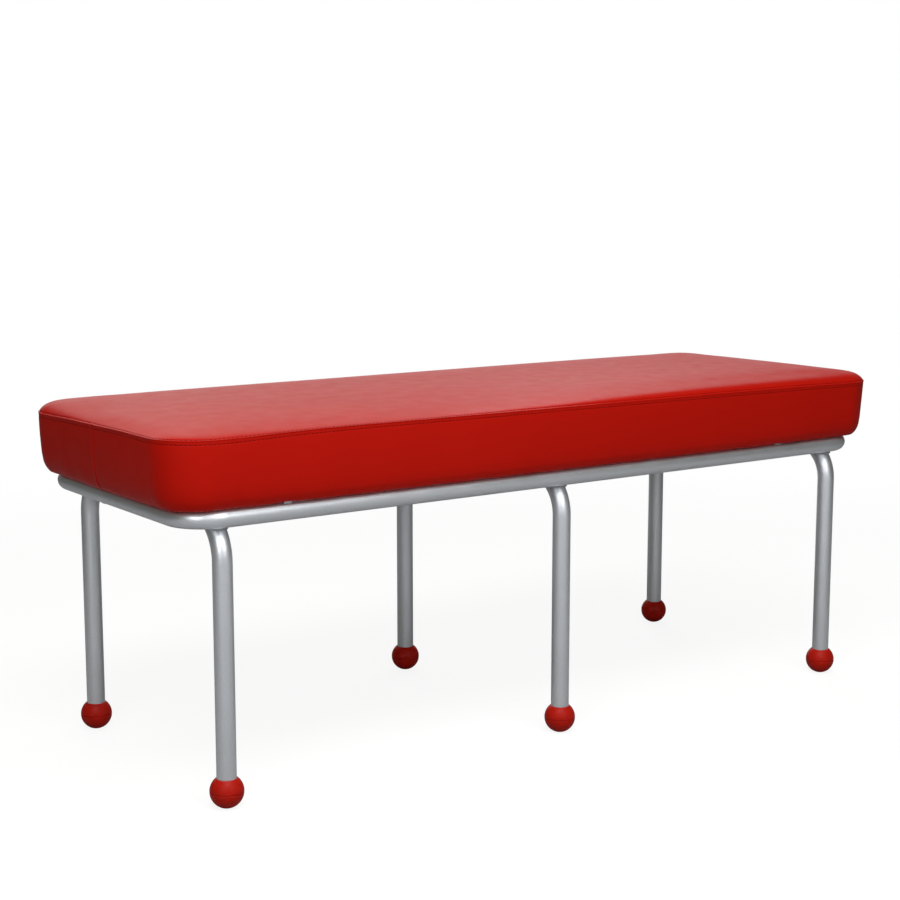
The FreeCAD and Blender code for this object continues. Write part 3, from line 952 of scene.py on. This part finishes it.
# Name, place, target, size and power of each lamp
softboxes = (
    ("softbox_key", (-1.3, -1.6, 2.6), middle, (1.4, 1.0), 34.9),
    ("softbox_front", (-0.4, -1.2, 2.6), middle, (2.0, 1.0), 35.7),
    ("softbox_low", (-0.9, -2.6, 0.9), middle, (1.6, 0.8), 3.7),
    ("softbox_near", (-0.2, -1.6, 1.0), (-0.2, -0.2, 0.42), (0.8, 0.5), 5.0),
    ("softbox_left", (-1.8, -1.2, 0.9), (-0.5, -0.1, 0.42), (0.7, 0.7), 7.0),
    ("softbox_right", (0.4, -1.9, 1.4), middle, (0.5, 0.8), 0.9),
    ("softbox_right_low", (0.35, -1.5, 0.35), (0, -0.2, 0.42), (0.9, 0.5), 0.5),
    ("softbox_rear", (-0.4, 2.2, 1.9), middle, (2.4, 1.0), 6.0),
    ("panel_right", (0.8, 0.7, 1.5), (-0.3, -0.2, 0.5), (0.5, 1.0), 3.8),
    ("panel_high", (0.85, 0.8, 1.9), (-0.3, -0.1, 0.45), (0.8, 0.8), 1.6),
)

# Each lobe of the world's light: its direction, the cosines where it starts and is full, and its strength
world_colour = (1, 0.985, 0.84, 1)
world_lobes = (
    ((0, 0, 1), -1.0, -0.9, 0.10),             # everywhere
    ((0.40, 0.90, 0.22), 0.955, 0.999, 4.60),  # the backdrop behind the bench
    ((0.42, 0.90, 0.85), 0.92, 0.995, 0.40),   # its top
    ((0.50, 0.85, 0.20), 0.70, 0.98, 0.17),    # its soft surround
)
backdrop_seen = ((0.50, 0.85, 0.20), 0.85, 0.98, 1.0)    # as a share of white, in gloss

white = (1, 1, 1, 1)
floor_half = 6
floor_tone = 0.32
shadow_share = 0.42              # of the paper's own shading that the camera sees
floor_glow = 0.88
floor_fade = (0.9, 2.4)          # metres from the middle
floor_sheen = (0.01, 0.26)       # how white the floor looks in the metal, and how much more far out in front
floor_front = (-0.2, -0.8)       # cosines from the backdrop's side where the front starts and is full


def aim(thing, place, direction):
    """Puts a lamp or camera in its place, facing in a direction."""
    thing.location = place
    thing.rotation_mode = "QUATERNION"
    thing.rotation_quaternion = direction.to_track_quat("-Z", "Y")


def make_camera():
    camera = bpy.data.cameras.new("camera")
    camera.sensor_width = sensor
    camera.lens = focal_pixels * sensor / image_size
    camera.clip_start = 0.05
    camera.clip_end = 50
    thing = new_object("camera", camera)
    level = math.cos(camera_elevation)
    back = (math.sin(camera_azimuth) * level, -math.cos(camera_azimuth) * level, math.sin(camera_elevation))
    aim(thing, camera_place, -Vector(back))
    bpy.context.scene.camera = thing


def softbox(name, place, target, size, power):
    light = bpy.data.lights.new(name, "AREA")
    light.shape = "RECTANGLE"
    light.size, light.size_y = size
    light.energy = power
    thing = new_object(name, light)
    thing.visible_camera = False
    aim(thing, place, Vector(target) - Vector(place))


def lobe(tree, direction, towards, low, high, strength):
    """Light from round one direction, fading out between two cosines."""
    cosine = calculate_vector(tree, "DOT_PRODUCT", "Value", direction, Vector(towards).normalized())
    return map_range(tree, cosine, low, high, 0, strength, "SMOOTHSTEP")


def seen_white(tree, glossy_share):
    """1 for the rays that see the white background: from the camera, through glass and, by its share, in
    gloss."""
    rays = add_node(tree, "LightPath").outputs
    total = calculate(tree, "MULTIPLY", rays["Is Glossy Ray"], glossy_share)
    for name in ("Is Camera Ray", "Is Transmission Ray"):
        total = calculate(tree, "MAXIMUM", total, rays[name])
    return total


def make_world():
    """A white backdrop to the camera, and a soft studio with a bright backdrop behind the bench to its
    surfaces."""
    world = bpy.data.worlds.new("studio")
    bpy.context.scene.world = world
    world.use_nodes = True
    tree = world.node_tree
    tree.nodes.clear()
    direction = add_node(tree, "TexCoord").outputs["Generated"]
    total, *others = [lobe(tree, direction, *args) for args in world_lobes]
    for other in others:
        total = calculate(tree, "ADD", total, other)
    studio = add_node(tree, "Background", {"Color": world_colour, "Strength": total})
    backdrop = add_node(tree, "Background", {"Color": white})
    seen = seen_white(tree, lobe(tree, direction, *backdrop_seen))
    pick = add_node(tree, "MixShader", {"Fac": seen, 1: studio.outputs[0], 2: backdrop.outputs[0]})
    add_node(tree, "OutputWorld", {"Surface": pick.outputs[0]})


def make_floor():
    """Pale paper. To the camera it is white, fading to an even white far out, and keeps the bench's
    shadow."""
    material = bpy.data.materials.new("floor")
    material.use_nodes = True
    tree = material.node_tree
    tree.nodes.clear()

    def shader(kind, inputs=None):
        return add_node(tree, kind, inputs).outputs[0]

    def paper(tone):
        return shader("BsdfDiffuse", {"Color": (tone, tone, tone, 1)})

    place = add_node(tree, "TexCoord").outputs["Object"]
    distance = calculate_vector(tree, "LENGTH", "Value", place)
    far_out = map_range(tree, distance, *floor_fade, shape="SMOOTHSTEP")
    towards, starts, full, _ = backdrop_seen
    level_towards = Vector((*towards[:2], 0)).normalized()
    side = calculate_vector(tree, "NORMALIZE", "Vector", place)
    cosine = calculate_vector(tree, "DOT_PRODUCT", "Value", side, level_towards)
    behind = map_range(tree, cosine, starts, full, shape="SMOOTHSTEP")
    in_front = map_range(tree, cosine, *floor_front, 0, floor_sheen[1])
    round_about = calculate(tree, "ADD", behind, in_front)
    sheen = calculate(tree, "MULTIPLY_ADD", far_out, round_about, floor_sheen[0])
    glow = shader("Emission", {"Strength": floor_glow})
    near = shader("AddShader", {0: paper(floor_tone * shadow_share), 1: glow})
    seen = shader("MixShader", {"Fac": far_out, 1: near, 2: shader("Emission")})
    pick = {"Fac": seen_white(tree, sheen), 1: paper(floor_tone), 2: seen}
    add_node(tree, "OutputMaterial", {"Surface": shader("MixShader", pick)})
    corners = [(x * floor_half, y * floor_half, 0) for x, y in ((-1, -1), (1, -1), (1, 1), (-1, 1))]
    floor = add_object("floor", corners, [(0, 1, 2, 3)], material)


def make_studio():
    bpy.context.scene.view_settings.view_transform = "Standard"
    make_world()
    make_floor()
    for args in softboxes:
        softbox(*args)


# ---- All together ----

def dress_cad_nodes(vinyl, under_cloth):
    """Gives every CAD node its material."""
    paint, weld = frame_paint(), frame_paint("weld_paint_and_shade", weld=True)
    rubber, zinc = foot_rubber(), zinc_steel()
    finishes = {
        "ring_rail": paint, "leg_hoop": paint, "mounting_tab": paint,
        "rail_butt_weld": paint, "hoop_weld_beads": weld, "tab_weld_beads": weld,
        "foot_washers": zinc, "foot_": rubber, "mounting_bolts": zinc, "bolt_washers": zinc, "t_nuts": zinc,
        "band_staples": zinc, "dust_cloth_staples": zinc, "dust_cloth": under_cloth,
        "seat_board": plywood(), "seat_foam": foam(),
        "cover_": vinyl,
    }
    for name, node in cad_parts.items():
        finish = finishes[max((key for key in finishes if name.startswith(key)), key=len)]
        if not node.material_slots:
            node.data.materials.append(finish)
        for slot in node.material_slots:
            slot.material = finish


random.seed(4)
make_camera()
make_studio()
cushion = make_cushion()
under_sheet = make_dust_cloth()
dress_cad_nodes(cushion.data.materials[0], under_sheet.data.materials[0])
